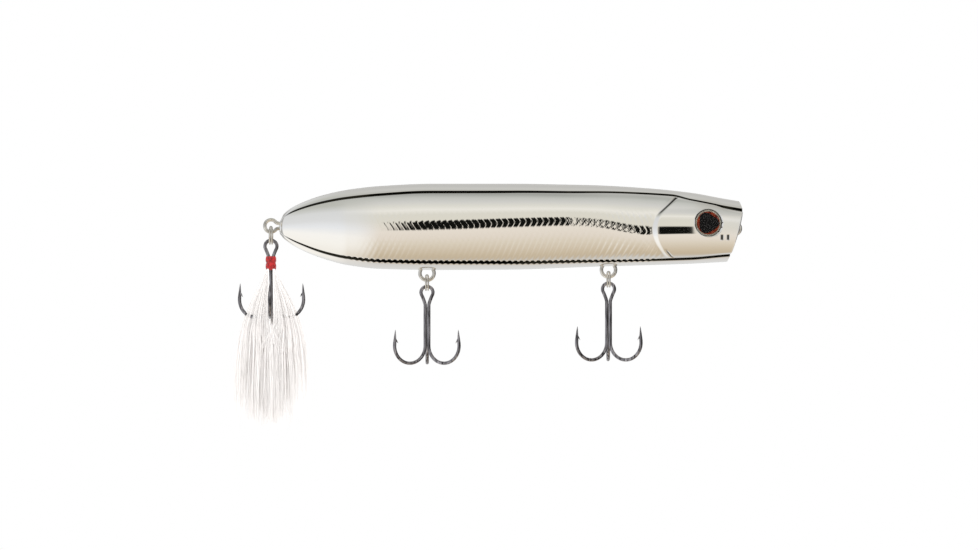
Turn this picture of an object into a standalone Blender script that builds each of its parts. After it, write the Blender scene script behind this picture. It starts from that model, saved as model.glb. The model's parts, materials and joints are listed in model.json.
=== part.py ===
"""Topwater popper: a 125 mm hollow fishing lure with three treble hooks.

Frame, in metres: the origin is the centre of the line-tie loop in the cupped mouth, +X points
forward, +Z up. The wire hangers lie in the parting plane y = 0 of the two body halves.
"""

import math

import bmesh
import bpy
from mathutils import Matrix, Vector

MM = 0.001
TAU = 2 * math.pi
GAP = 0.3  # mm, clearance between neighbouring pieces

# Driving dimensions, in mm ------------------------------------------------------------------

BODY_TAIL_X = -123.1
BODY_NOSE_X = 6.0  # the loft runs past the mouth and the mouth cutter trims it
PARTING_GAP = 0.3  # between the two body halves
WALL = 1.5
SECTION_POINTS = 15  # along one half section, top to bottom
BODY_STATIONS = 34

# x, top, bottom, half width, height of the widest point
BODY_PROFILE = (
    (-123.1, 2.2, -1.7, 1.8, 0.4),
    (-122.2, 4.0, -2.8, 3.0, 0.6),
    (-118.0, 6.7, -5.5, 5.1, 0.9),
    (-111.3, 9.1, -8.2, 7.1, 1.1),
    (-104.8, 10.5, -9.9, 8.3, 1.3),
    (-96.0, 11.5, -10.9, 9.2, 1.5),
    (-82.0, 12.1, -11.2, 9.6, 1.6),
    (-60.0, 12.1, -11.1, 9.7, 1.5),
    (-38.0, 11.7, -10.3, 9.4, 1.0),
    (-24.0, 10.9, -9.9, 9.0, 0.0),
    (-12.0, 9.7, -9.5, 8.5, -0.8),
    (-3.0, 8.1, -9.05, 7.9, -0.9),
    (6.0, 6.6, -8.7, 7.5, -0.9),
)

MOUTH_LEAN = math.radians(15.0)  # the rim leans forward at the top
MOUTH_X = 0.4  # where the rim plane crosses z = 0
CUP_DEPTH = 4.6
CUP_HALF_WIDTH = 6.7
CUP_TOP = 6.6
CUP_BOTTOM = -8.3

# hollow chambers between cross ribs, x from and to
CHAMBERS = (
    (-113.0, -107.6),
    (-106.4, -94.6),
    (-93.4, -87.0),
    (-79.8, -70.6),
    (-69.4, -46.6),
    (-45.4, -37.8),
    (-30.6, -13.0),
)
CHAMBER_POINTS = 18

WIRE_RADIUS = 0.48  # hangers and line tie
LEG_SPREAD = 0.54  # a hanger's two legs lie this far each side of its middle
FOOT_LENGTH = 2.4  # the bent feet that lock a hanger between the halves
LEG_LENGTH = 7.0  # loop centre to feet

LINE_TIE_LOOP = 1.55  # wire-centre radii
BELLY_LOOP = 1.92
TAIL_LOOP = 1.66
FRONT_HANGER = (-34.2, -11.2)  # loop centres, x and z
REAR_HANGER = (-83.4, -12.1)
TAIL_HANGER = (-125.7, 0.7)

RING_WIRE = 0.31  # wire radius
RING_PITCH = 0.68  # between the ring's two coils
RING_START = 0.12  # turns at which the wire starts and ends
RING_END = 1.88
BELLY_RING = 2.04  # coil radii
TAIL_RING = 2.34
BELLY_RING_DROP = 4.59  # from the loop centre to the ring's lower wire
TAIL_RING_DROP = 4.88

HOOK_WIRE = 0.46
HOOK_LENGTH = 21.7
EYE_TOP = 1.45  # above the ring's lower wire
EYE_RADIUS = 1.62
SHANK_SPREAD = 0.485
SHANK_TOP = -4.0
BEND_RADIUS = 4.75
POINT_Z = -10.7
POINT_LEAN = 0.25
NEEDLE_LENGTH = 4.2
POINT_RADIUS = 0.07

WRAP_TOP = -3.6  # on the tail hook, below its hinge
WRAP_BOTTOM = -7.0
WRAP_OUTER = 1.5
WRAP_INNER = 1.2

HACKLE_ANGLES = (190, 230, 310, 350, 70, 110)  # each pair stands between two hooks
HACKLE_LENGTHS = (39.5, 40.5, 39.0, 35.5, 39.5, 38.0)
HACKLE_SPREADS = (1.0, 0.95, 1.0, 1.12, 0.85, 0.85)
HACKLE_THICKNESS = 0.25
HACKLE_STATIONS = 14

EYE_X = -6.9
EYE_Z = 1.5
EYE_Y = 7.95
EYE_YAW = math.radians(7.0)
EYE_PITCH = math.radians(3.0)
EYE_DISC_RADIUS = 3.5
EYE_DISC_THICKNESS = 0.5
EYE_LENS_RADIUS = 3.8
EYE_LENS_EDGE = 0.35
EYE_LENS_DOME = 0.65
EYE_DEPTH = 1.75  # from the eye's apex to the socket floor

WEIGHT_RADIUS = 4.0
WEIGHT_LENGTH = 16.0
WEIGHT_CENTRE = (-100.5, -1.2)
BALL_RADIUS = 2.8
BALL_PITCH = 5.9
BALL_ROW_X = -58.0
BALL_Z = -6.15


# Materials ----------------------------------------------------------------------------------

MATERIALS = {
    # colour, roughness, metallic
    "chrome_film": ((0.83, 0.82, 0.80), 0.08, 1.0),
    "nickel_wire": ((0.78, 0.76, 0.73), 0.18, 1.0),
    "black_nickel": ((0.24, 0.23, 0.26), 0.22, 1.0),
    "red_thread": ((0.55, 0.01, 0.02), 0.45, 0.0),
    "white_hackle": ((0.90, 0.86, 0.83), 0.75, 0.0),
    "eye_print": ((0.30, 0.06, 0.02), 0.35, 0.0),
    "clear_lens": ((0.95, 0.95, 0.95), 0.03, 0.0),
    "steel": ((0.55, 0.55, 0.55), 0.30, 1.0),
}


def material(name):
    """The named Principled material, made on first use."""
    found = bpy.data.materials.get(name)
    if found:
        return found
    colour, roughness, metallic = MATERIALS[name]
    made = bpy.data.materials.new(name)
    made.use_nodes = True
    shader = made.node_tree.nodes["Principled BSDF"]
    shader.inputs["Base Color"].default_value = (*colour, 1.0)
    shader.inputs["Roughness"].default_value = roughness
    shader.inputs["Metallic"].default_value = metallic
    made.diffuse_color = (*colour, 1.0)
    return made


# Scene helpers ------------------------------------------------------------------------------


def clear_scene():
    for old in list(bpy.data.objects):
        bpy.data.objects.remove(old, do_unlink=True)


def new_collection(name):
    made = bpy.data.collections.new(name)
    bpy.context.scene.collection.children.link(made)
    return made


def metres(point):
    return Vector(point) * MM


def place(obj, collection, material_name, location, parent):
    """Links an object, dresses it and stands it at a world location in mm, under its parent."""
    collection.objects.link(obj)
    obj.data.materials.append(material(material_name))
    obj.parent = parent
    origin = parent.location if parent else Vector()
    obj.location = metres(location) - origin
    return obj


def pivot(name, collection, location):
    """An empty on a joint's axis, at a world location in mm."""
    empty = bpy.data.objects.new(name, None)
    empty.empty_display_size = 3 * MM
    empty.location = metres(location)
    collection.objects.link(empty)
    return empty


def loft(name, rings):
    """A closed solid through equal rings of points in mm, with a flat cap at each end."""
    mesh = bpy.data.meshes.new(name)
    bm = bmesh.new()
    rows = [[bm.verts.new(metres(point)) for point in ring] for ring in rings]
    count = len(rows[0])
    for near, far in zip(rows, rows[1:]):
        for i in range(count):
            j = (i + 1) % count
            bm.faces.new((near[i], near[j], far[j], far[i]))
    bm.faces.new(rows[0])
    bm.faces.new(reversed(rows[-1]))
    bmesh.ops.recalc_face_normals(bm, faces=bm.faces)
    bm.to_mesh(mesh)
    bm.free()
    return bpy.data.objects.new(name, mesh)


def wire(name, points, radius, radii=None):
    """A round wire along points in mm. radii, if given, scales the radius at each point."""
    curve = bpy.data.curves.new(name, "CURVE")
    curve.dimensions = "3D"
    curve.bevel_depth = radius * MM
    curve.bevel_resolution = 2
    curve.use_fill_caps = True
    spline = curve.splines.new("POLY")
    spline.points.add(len(points) - 1)
    for i, point in enumerate(points):
        spline.points[i].co = (*metres(point), 1.0)
        spline.points[i].radius = radii[i] if radii else 1.0
    return bpy.data.objects.new(name, curve)


def turned(name, profile, closed=False, steps=28):
    """A turned solid about Z from a profile of (radius, height) in mm, outer side downwards."""
    mesh = bpy.data.meshes.new(name)
    edges = [(i, i + 1) for i in range(len(profile) - 1)]
    if closed:
        edges.append((len(profile) - 1, 0))
    mesh.from_pydata([metres((radius, 0, height)) for radius, height in profile], edges, [])
    obj = bpy.data.objects.new(name, mesh)
    screw = obj.modifiers.new("Screw", "SCREW")
    screw.steps = steps
    screw.render_steps = steps
    screw.use_merge_vertices = True
    screw.merge_threshold = 0.00001
    screw.use_smooth_shade = True
    return obj


def mesh_object(name, build):
    """An object whose mesh is filled by build(bm)."""
    mesh = bpy.data.meshes.new(name)
    bm = bmesh.new()
    build(bm)
    bm.to_mesh(mesh)
    bm.free()
    return bpy.data.objects.new(name, mesh)


def block(name, low, high):
    """A box between two corners in mm."""
    low, high = Vector(low), Vector(high)
    matrix = Matrix.Translation((low + high) / 2 * MM) @ Matrix.Diagonal((high - low) * MM).to_4x4()
    return mesh_object(name, lambda bm: bmesh.ops.create_cube(bm, size=1.0, matrix=matrix))


def rod(name, radius, length, sides=28):
    """A cylinder about X in mm, centred on its origin."""
    turn = Matrix.Rotation(math.pi / 2, 4, "Y")
    return mesh_object(
        name,
        lambda bm: bmesh.ops.create_cone(
            bm,
            cap_ends=True,
            segments=sides,
            radius1=radius * MM,
            radius2=radius * MM,
            depth=length * MM,
            matrix=turn,
        ),
    )


def add_cutter(obj, cutters):
    cutters.objects.link(obj)
    obj.hide_render = True
    obj.display_type = "WIRE"
    return obj


# Body ---------------------------------------------------------------------------------------


def smooth_slope(before, here, after, column):
    """The slope at a profile row that keeps the curve from overshooting."""
    left = (here[column] - before[column]) / (here[0] - before[0])
    right = (after[column] - here[column]) / (after[0] - here[0])
    if left * right <= 0:
        return 0.0
    return 2 * left * right / (left + right)


def profile_at(x):
    """Top, bottom, half width and widest height of the body at x, smoothly between the rows."""
    rows = BODY_PROFILE
    last = len(rows) - 2
    i = next((k for k in range(last + 1) if x <= rows[k + 1][0]), last)
    start, end = rows[i], rows[i + 1]
    span = end[0] - start[0]
    t = (x - start[0]) / span
    values = []
    for column in range(1, 5):
        chord = (end[column] - start[column]) / span
        first = smooth_slope(rows[i - 1], start, end, column) if i else chord
        second = smooth_slope(start, end, rows[i + 2], column) if i < last else chord
        values.append(
            (1 + 2 * t) * (1 - t) ** 2 * start[column]
            + t * (1 - t) ** 2 * span * first
            + t * t * (3 - 2 * t) * end[column]
            - t * t * (1 - t) * span * second
        )
    return values


def section_point(x, angle, shrink=0.0):
    """A point of the body's surface: angle 0 is the top and pi the belly, on the +Y side."""
    top, bottom, width, widest = profile_at(x)
    reach = (top if math.cos(angle) > 0 else -bottom) - shrink
    middle = widest
    height = reach - middle if math.cos(angle) > 0 else reach + middle
    return (x, (width - shrink) * math.sin(angle), middle + height * math.cos(angle))


def body_stations(start, end, count):
    """x values from start to end, closer together near the blunt tail."""
    fractions = [k / (count - 1) for k in range(count)]
    return [start + (end - start) * fraction**1.35 for fraction in fractions]


def half_rings(side):
    """The rings of one solid body half, each running from the back to the belly."""
    half_gap = PARTING_GAP / 2
    rings = []
    for x in body_stations(BODY_TAIL_X, BODY_NOSE_X, BODY_STATIONS):
        ring = []
        for k in range(SECTION_POINTS):
            _, y, z = section_point(x, math.pi * k / (SECTION_POINTS - 1))
            ring.append((x, side * max(y, half_gap), z))
        rings.append(ring)
    return rings


def chamber(name, start, end):
    """A cutter that leaves the wall thickness round one hollow chamber."""
    count = 3 if end - start < 12 else 5
    rings = []
    for k in range(count):
        x = start + (end - start) * k / (count - 1)
        angles = [TAU * i / CHAMBER_POINTS for i in range(CHAMBER_POINTS)]
        half = [section_point(x, min(a, TAU - a), WALL) for a in angles]
        rings.append([(px, py if a < math.pi else -py, pz) for (px, py, pz), a in zip(half, angles)])
    return loft(name, rings)


def mouth_frame():
    """Stands a piece on the leaning mouth plane, facing out of the mouth."""
    return Matrix.Translation(metres((MOUTH_X, 0, 0))) @ Matrix.Rotation(MOUTH_LEAN, 4, "Y")


def mouth_cutter():
    """A block in front of the leaning mouth plane."""
    obj = block("mouth_cutter", (0, -15, -20), (15, 15, 20))
    obj.matrix_world = mouth_frame()
    return obj


def cup_cutter():
    """The rounded hollow of the mouth."""
    middle = (CUP_TOP + CUP_BOTTOM) / 2
    half_height = (CUP_TOP - CUP_BOTTOM) / 2
    size = Matrix.Diagonal(metres((CUP_DEPTH, CUP_HALF_WIDTH, half_height))).to_4x4()
    matrix = Matrix.Translation(metres((0, 0, middle))) @ size @ Matrix.Rotation(math.pi / 2, 4, "Y")
    obj = mesh_object(
        "cup_cutter",
        lambda bm: bmesh.ops.create_uvsphere(
            bm, u_segments=24, v_segments=14, radius=1.0, matrix=matrix
        ),
    )
    obj.matrix_world = mouth_frame()
    return obj


def eye_frame(side):
    """The eye's apex, with local Z pointing out of the lure's side."""
    outward = Vector(
        (
            math.sin(EYE_YAW),
            side * math.cos(EYE_YAW) * math.cos(EYE_PITCH),
            math.sin(EYE_PITCH),
        )
    )
    turn = outward.to_track_quat("Z", "Y").to_matrix().to_4x4()
    return Matrix.Translation(metres((EYE_X, side * EYE_Y, EYE_Z))) @ turn


def eye_socket(side):
    radius = (EYE_LENS_RADIUS + GAP) * MM
    reach = 3 * MM
    floor = -EYE_DEPTH * MM
    obj = mesh_object(
        f"eye_socket_{'left' if side > 0 else 'right'}",
        lambda bm: bmesh.ops.create_cone(
            bm,
            cap_ends=True,
            segments=28,
            radius1=radius,
            radius2=radius,
            depth=reach - floor,
            matrix=Matrix.Translation((0, 0, (reach + floor) / 2)),
        ),
    )
    obj.matrix_world = eye_frame(side)
    return obj


def hanger_slots(name, centre, outward, loop):
    """Cutters for the part of a hanger's loop inside the body, its two legs and its bent feet."""
    half_loop = loop + WIRE_RADIUS + GAP
    half_leg = LEG_SPREAD + WIRE_RADIUS + GAP
    half_foot = FOOT_LENGTH + GAP
    half_wire = WIRE_RADIUS + GAP
    centre, outward = Vector((centre[0], 0, centre[1])), Vector(outward)
    across = Vector((abs(outward.z), 0, abs(outward.x)))
    thick = Vector((0, half_wire, 0))

    def slot(part, half, near, far):
        corners = [centre - outward * d + across * s * half + thick * s for d, s in ((near, -1), (far, 1))]
        low = [min(a, b) for a, b in zip(*corners)]
        high = [max(a, b) for a, b in zip(*corners)]
        return block(f"{name}_{part}_slot", low, high)

    foot_top, foot_bottom = LEG_LENGTH + half_wire, LEG_LENGTH - half_wire
    return [
        slot("loop", half_loop, 0, loop + GAP),
        slot("leg", half_leg, loop, foot_bottom + GAP),
        slot("foot", half_foot, foot_bottom, foot_top),
    ]


def weight_pocket():
    obj = rod("weight_pocket", WEIGHT_RADIUS + GAP, WEIGHT_LENGTH + 2 * GAP)
    obj.location = metres((WEIGHT_CENTRE[0], 0, WEIGHT_CENTRE[1]))
    return obj


HANGERS = {
    # loop centre (x, z), direction out of the body, wire-centre radius of the loop
    "line_tie": ((0.0, 0.0), (1, 0, 0), LINE_TIE_LOOP),
    "front_hook_hanger": (FRONT_HANGER, (0, 0, -1), BELLY_LOOP),
    "rear_hook_hanger": (REAR_HANGER, (0, 0, -1), BELLY_LOOP),
    "tail_hook_hanger": (TAIL_HANGER, (-1, 0, 0), TAIL_LOOP),
}


def make_cutters(cutters):
    add_cutter(mouth_cutter(), cutters)
    add_cutter(cup_cutter(), cutters)
    add_cutter(weight_pocket(), cutters)
    for i, (start, end) in enumerate(CHAMBERS, 1):
        add_cutter(chamber(f"chamber_{i}", start, end), cutters)
    for name, (centre, outward, loop) in HANGERS.items():
        for slot in hanger_slots(name, centre, outward, loop):
            add_cutter(slot, cutters)
    for side in (1, -1):
        add_cutter(eye_socket(side), cutters)


def make_body(parts, cutters):
    for side, name in ((1, "body_shell_left"), (-1, "body_shell_right")):
        shell = place(loft(name, half_rings(side)), parts, "chrome_film", (0, 0, 0), None)
        cut = shell.modifiers.new("Cut", "BOOLEAN")
        cut.operation = "DIFFERENCE"
        cut.solver = "EXACT"
        cut.operand_type = "COLLECTION"
        cut.collection = cutters
        shell.data.shade_smooth()
        shell.data.set_sharp_from_angle(angle=math.radians(35))


def make_eyes(parts):
    """A printed disc in each socket, under a domed clear lens."""
    disc_floor = GAP - EYE_DEPTH
    lens_floor = disc_floor + EYE_DISC_THICKNESS + GAP
    disc = [
        (0, disc_floor + EYE_DISC_THICKNESS),
        (EYE_DISC_RADIUS, disc_floor + EYE_DISC_THICKNESS),
        (EYE_DISC_RADIUS, disc_floor),
        (0, disc_floor),
    ]
    dome = []
    for k in range(7):
        angle = math.pi / 2 * k / 6
        height = lens_floor + EYE_LENS_EDGE + EYE_LENS_DOME * math.cos(angle)
        dome.append((EYE_LENS_RADIUS * math.sin(angle), height))
    lens = [*dome, (EYE_LENS_RADIUS, lens_floor), (0, lens_floor)]
    for side, label in ((1, "left"), (-1, "right")):
        for name, profile, look in (("disc", disc, "eye_print"), ("lens", lens, "clear_lens")):
            obj = place(turned(f"eye_{name}_{label}", profile), parts, look, (0, 0, 0), None)
            obj.matrix_world = eye_frame(side)


# Wirework -----------------------------------------------------------------------------------


def hanger_path(centre, outward, loop):
    """A loop with two close legs whose ends are bent apart into feet."""
    opening = math.radians(32)
    turns = 14
    outline = [(-FOOT_LENGTH, LEG_LENGTH), (-LEG_SPREAD - 0.5, LEG_LENGTH), (-LEG_SPREAD, LEG_LENGTH - 0.5)]
    outline.append((-LEG_SPREAD, loop + 0.75))
    for k in range(turns + 1):
        angle = opening + (TAU - 2 * opening) * k / turns
        outline.append((-loop * math.sin(angle), loop * math.cos(angle)))
    outline += [(-across, depth) for across, depth in reversed(outline[:4])]
    centre, outward = Vector((centre[0], 0, centre[1])), Vector(outward)
    sideways = Vector((abs(outward.z), 0, abs(outward.x)))
    return [centre + sideways * across - outward * depth for across, depth in outline]


def make_hangers(parts):
    for name, (centre, outward, loop) in HANGERS.items():
        obj = wire(name, hanger_path(centre, outward, loop), WIRE_RADIUS)
        place(obj, parts, "nickel_wire", (0, 0, 0), None)


def ring_path(radius, drop):
    """Two flat coils joined by a short step. The top of the ring is drop above its lower wire."""
    steps = 38
    path = []
    for k in range(steps + 1):
        turn = RING_START + (RING_END - RING_START) * k / steps
        step = min(max((turn - 0.9) / 0.2, 0.0), 1.0)
        step = step * step * (3 - 2 * step)
        angle = TAU * (turn + 0.25)
        path.append(((step - 0.5) * RING_PITCH, radius * math.cos(angle), drop + radius * math.sin(angle)))
    return path


def blend_value(start, end, fraction):
    return start + (end - start) * fraction


def half_eye(side):
    """One side of the eye, from its top down to where the two wires meet, in the XZ plane."""
    middle = EYE_TOP - HOOK_WIRE - EYE_RADIUS
    last = math.radians(118)
    points = []
    for k in range(8):
        angle = last * k / 7
        points.append((side * EYE_RADIUS * math.sin(angle), 0, middle + EYE_RADIUS * math.cos(angle)))
    neck_x, _, neck_z = points[-1]
    for fraction in (0.5, 1.0):
        x = blend_value(neck_x, side * SHANK_SPREAD, fraction**0.8)
        points.append((x, 0, blend_value(neck_z, SHANK_TOP, fraction)))
    return points


def half_bend(foot, outward):
    """The bend and the point of one hook, from its shank's foot along the outward direction."""
    bottom = EYE_TOP - HOOK_LENGTH + HOOK_WIRE
    centre = bottom + BEND_RADIUS
    points, radii = [], []
    for k in range(11):
        angle = math.pi * k / 10
        reach = BEND_RADIUS * (1 - math.cos(angle))
        points.append((foot[0] + outward[0] * reach, foot[1] + outward[1] * reach, centre - BEND_RADIUS * math.sin(angle)))
        radii.append(1.0)
    for height in (POINT_Z - NEEDLE_LENGTH + 0.5, POINT_Z - NEEDLE_LENGTH / 2, POINT_Z):
        fraction = (height - centre) / (POINT_Z - centre)
        reach = 2 * BEND_RADIUS - POINT_LEAN * fraction
        points.append((foot[0] + outward[0] * reach, foot[1] + outward[1] * reach, height))
        needle = min((POINT_Z - height) / NEEDLE_LENGTH, 1.0)
        radii.append(blend_value(POINT_RADIUS / HOOK_WIRE, 1.0, needle))
    return points, radii


def double_hook_path(third_side):
    """One wire from point to point: bend, shank, eye, shank and bend."""
    sixth = math.radians(30)
    arms = []
    for side in (1, -1):
        foot = (side * SHANK_SPREAD, 0)
        outward = (side * math.cos(sixth), -third_side * math.sin(sixth))
        bend, radii = half_bend(foot, outward)
        eye = half_eye(side)
        arms.append((eye + bend, [1.0] * len(eye) + radii))
    (first, first_radii), (second, second_radii) = arms
    return first[::-1] + second[1:], first_radii[::-1] + second_radii[1:]


def single_hook_path(third_side):
    foot = (0, third_side * SHANK_SPREAD * math.sqrt(3))
    bend, radii = half_bend(foot, (0, third_side))
    return [(*foot, SHANK_TOP - 0.4)] + bend, [1.0] + radii


def make_treble(parts, prefix, hinge, third_side, parent):
    """A double hook bent from one wire, and the single hook brazed to its shank."""
    for kind, path in (("double", double_hook_path), ("single", single_hook_path)):
        points, radii = path(third_side)
        obj = wire(f"{prefix}_{kind}_hook", points, HOOK_WIRE, radii)
        place(obj, parts, "black_nickel", hinge, parent)


def make_hook_set(parts, prefix, hanger, loop, ring_radius, ring_drop, third_side):
    """A split ring on a hanger, and a treble on the ring. Returns the treble's hinge and pivot."""
    x, z = hanger
    ring_hinge = (x, 0, z - loop)
    hook_hinge = (x, 0, z - ring_drop)
    ring_pivot = pivot(f"{prefix}_ring_pivot", parts, ring_hinge)
    ring = wire(f"{prefix}_split_ring", ring_path(ring_radius, ring_radius + ring_hinge_offset(loop, ring_drop)), RING_WIRE)
    place(ring, parts, "nickel_wire", ring_hinge, ring_pivot)
    hook_pivot = pivot(f"{prefix}_hook_pivot", parts, hook_hinge)
    make_treble(parts, prefix, hook_hinge, third_side, hook_pivot)
    return hook_hinge, hook_pivot


def ring_hinge_offset(loop, ring_drop):
    """The ring's lower wire, below the hanger's wire that the ring swings on."""
    return loop - ring_drop


# Tail dressing ------------------------------------------------------------------------------


def make_thread_wrap(parts, hinge, parent, third_side):
    """The thread that binds the hackles to the tail treble's shank, with a waist in the middle."""
    height = WRAP_TOP - WRAP_BOTTOM
    outer = []
    for k in range(9):
        fraction = k / 8
        bulge = abs(math.sin(TAU * fraction))
        outer.append((WRAP_OUTER - 0.12 * (1 - bulge), WRAP_TOP - height * fraction))
    profile = [*outer, (WRAP_INNER, WRAP_BOTTOM), (WRAP_INNER, WRAP_TOP)]
    obj = turned("thread_wrap", profile, closed=True, steps=24)
    place(obj, parts, "red_thread", hinge, parent)
    obj.location.y += third_side * shank_middle() * MM


def shank_middle():
    """How far the middle of the three shanks lies towards the single hook."""
    return SHANK_SPREAD / math.sqrt(3)


def hackle_ring(angle, spread, length, fraction):
    """One cross-section of a hackle, a flat oval that stands across its own direction."""
    outward = Vector((math.cos(angle), math.sin(angle), 0))
    across = Vector((-math.sin(angle), math.cos(angle), 0))
    depth = length * fraction
    flare = 1 - math.exp(-depth / 17.0)
    reach = 1.55 + 7.6 * spread * flare
    root = min(depth / 9.0, 1.0)
    tip = math.sqrt(max(1 - max(fraction - 0.55, 0) ** 2 / 0.45**2, 0.0))
    half_width = (0.35 + 1.65 * root * spread * flare**0.5) * max(tip, 0.12)
    centre = Vector((0, 0, WRAP_BOTTOM - GAP - depth)) + outward * reach
    return [
        centre + across * half_width * math.cos(turn) + outward * HACKLE_THICKNESS * math.sin(turn)
        for turn in (TAU * k / 8 for k in range(8))
    ]


def make_hackles(parts, hinge, parent, third_side):
    """Six soft feathers that fan out below the thread, two in each gap between the hooks."""
    middle = (hinge[0], third_side * shank_middle(), hinge[2])
    sizes = zip(HACKLE_ANGLES, HACKLE_LENGTHS, HACKLE_SPREADS)
    for number, (angle, length, spread) in enumerate(sizes, 1):
        fractions = [k / (HACKLE_STATIONS - 1) for k in range(HACKLE_STATIONS)]
        rings = [hackle_ring(math.radians(angle), spread, length, fraction) for fraction in fractions]
        obj = loft(f"hackle_{number}", rings)
        obj.data.shade_smooth()
        place(obj, parts, "white_hackle", middle, parent)


# Inside -------------------------------------------------------------------------------------


def make_inside(parts):
    """The casting weight in the tail, and the loose row of rattle balls."""
    weight = rod("tail_weight", WEIGHT_RADIUS, WEIGHT_LENGTH)
    place(weight, parts, "steel", (WEIGHT_CENTRE[0], 0, WEIGHT_CENTRE[1]), None)
    for k in range(3):
        ball = mesh_object(
            f"rattle_ball_{k + 1}",
            lambda bm: bmesh.ops.create_uvsphere(bm, u_segments=14, v_segments=9, radius=BALL_RADIUS * MM),
        )
        place(ball, parts, "steel", (BALL_ROW_X + (1 - k) * BALL_PITCH, 0, BALL_Z), None)


def main():
    clear_scene()
    parts = new_collection("topwater_popper")
    cutters = new_collection("body_cutters")
    make_cutters(cutters)
    make_body(parts, cutters)
    make_eyes(parts)
    make_hangers(parts)
    make_hook_set(parts, "front", FRONT_HANGER, BELLY_LOOP, BELLY_RING, BELLY_RING_DROP, 1)
    make_hook_set(parts, "rear", REAR_HANGER, BELLY_LOOP, BELLY_RING, BELLY_RING_DROP, 1)
    tail = make_hook_set(parts, "tail", TAIL_HANGER, TAIL_LOOP, TAIL_RING, TAIL_RING_DROP, -1)
    make_thread_wrap(parts, *tail, -1)
    make_hackles(parts, *tail, -1)
    make_inside(parts)


main()
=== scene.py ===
"""The looks of a chromed topwater popper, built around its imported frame.

Lengths here are in millimetres until a mesh is made, in the frame's own axes: the origin is the
line-tie loop's centre, +X points out of the mouth and +Z up.
"""

import json
import math

import bpy
import numpy as np
from mathutils import Matrix, Vector


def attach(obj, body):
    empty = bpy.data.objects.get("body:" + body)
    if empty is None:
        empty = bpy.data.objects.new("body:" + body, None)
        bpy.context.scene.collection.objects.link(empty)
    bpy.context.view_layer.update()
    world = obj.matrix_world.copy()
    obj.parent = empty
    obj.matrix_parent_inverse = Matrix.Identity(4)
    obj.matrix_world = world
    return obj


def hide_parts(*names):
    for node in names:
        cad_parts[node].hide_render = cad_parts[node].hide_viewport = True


MM = 0.001
TAU = 2 * math.pi

# Body --------------------

# x, top, bottom, half width, height of the widest point
BODY_PROFILE = (
    (-123.1, 2.2, -1.7, 1.8, 0.4),
    (-122.2, 4.0, -2.8, 3.0, 0.6),
    (-118.0, 6.7, -5.5, 5.1, 0.9),
    (-111.3, 9.1, -8.2, 7.1, 1.1),
    (-104.8, 10.5, -9.9, 8.3, 0.8),
    (-96.0, 11.5, -10.9, 9.2, 0.4),
    (-82.0, 12.1, -11.2, 9.6, 0.7),
    (-60.0, 12.1, -11.1, 9.7, 1.6),
    (-46.0, 11.88, -10.62, 9.6, 2.0),
    (-38.0, 11.7, -10.3, 9.37, 1.5),
    (-24.0, 10.9, -9.9, 8.98, -1.0),
    (-12.0, 9.7, -9.5, 8.42, -0.8),
    (-3.0, 8.1, -9.05, 7.78, -0.9),
    (6.0, 6.6, -8.7, 7.0, -0.9),
)

# The two ledges that part the side panel from the back and the belly: x, the back ledge's upper
# edge over the back's height, its face's height, the belly ledge's lower edge over the belly's
# depth, its face's height
LEDGES = (
    (-123.1, 0.80, 0.14, 0.70, 0.14),
    (-118.0, 0.83, 0.56, 0.78, 0.46),
    (-110.0, 0.83, 0.72, 0.845, 0.74),
    (-100.0, 0.832, 0.78, 0.852, 0.88),
    (-85.0, 0.852, 0.80, 0.866, 1.0),
    (-70.0, 0.852, 0.78, 0.875, 1.0),
    (-45.0, 0.858, 0.62, 0.893, 0.82),
    (-30.0, 0.885, 0.52, 0.905, 0.62),
    (-20.0, 0.900, 0.54, 0.905, 0.62),
    (-17.0, 0.905, 0.56, 0.905, 0.68),
    (-12.0, 0.830, 0.46, 0.905, 0.68),
    (-6.5, 0.795, 0.47, 0.885, 0.66),
    (-4.0, 0.778, 0.82, 0.872, 0.66),
    (0.0, 0.757, 1.0, 0.855, 0.66),
)
LEDGE_TREAD = 0.10  # how much lower the ledge's hidden tread ends than it starts
FACE_ROWS = 4
TREAD_ROWS = 2

TAIL_X = BODY_PROFILE[0][0]
TAIL_DOME = 0.35
TAIL_RINGS = 6
# the rim from the side: its x at the origin's height, its lean, and how it bows out and tucks back
RIM_X = 0.32
RIM_LEAN = 0.305
RIM_BOW, RIM_BOW_MIDDLE, RIM_BOW_REACH = 0.45, -2.0, 7.2
RIM_TUCK, RIM_TUCK_FROM, RIM_TUCK_CURVE = 0.3, 4.5, 1.3
RIM_BASE_X = -0.3  # the last ring's x before it leans into the rim's curve
LEAN_START_X = -17.0
LEAN_CURVE = 2.2
LEAN_PASSES = 4  # enough for the lean and the profile, which depend on each other, to settle
RING_SPACING = ((TAIL_X, 0.25), (-108.0, 0.125), (-20.0, 0.14), (RIM_BASE_X, None))
BACK_ROWS = 22
SIDE_ROWS = 130
BELLY_ROWS = 20
LEDGE_ROWS = FACE_ROWS + TREAD_ROWS
SIDE_START = BACK_ROWS + LEDGE_ROWS
SIDE_END = SIDE_START + SIDE_ROWS
BELLY_START = SIDE_END + LEDGE_ROWS

LEDGE_SHADE_FADE_LENGTH = 3.0  # the painted shade on the ledges' upright faces fades in over this length at the tail
LIP_THICKNESS = 0.85
LIP_BULGE = 0.38  # how far the lip rounds out, over its thickness
LIP_RINGS = 8
PAINTED_SHADE_LIP_RINGS = 4  # the ledge faces' painted shade carries on over the lip this far
CUP_RINGS = 34
CUP_DEPTH = 4.5
CUP_CURVE = 0.9
MOUTH_MIDDLE_Z = -0.9
MOUTH_LEAN = math.radians(15.0)

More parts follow.
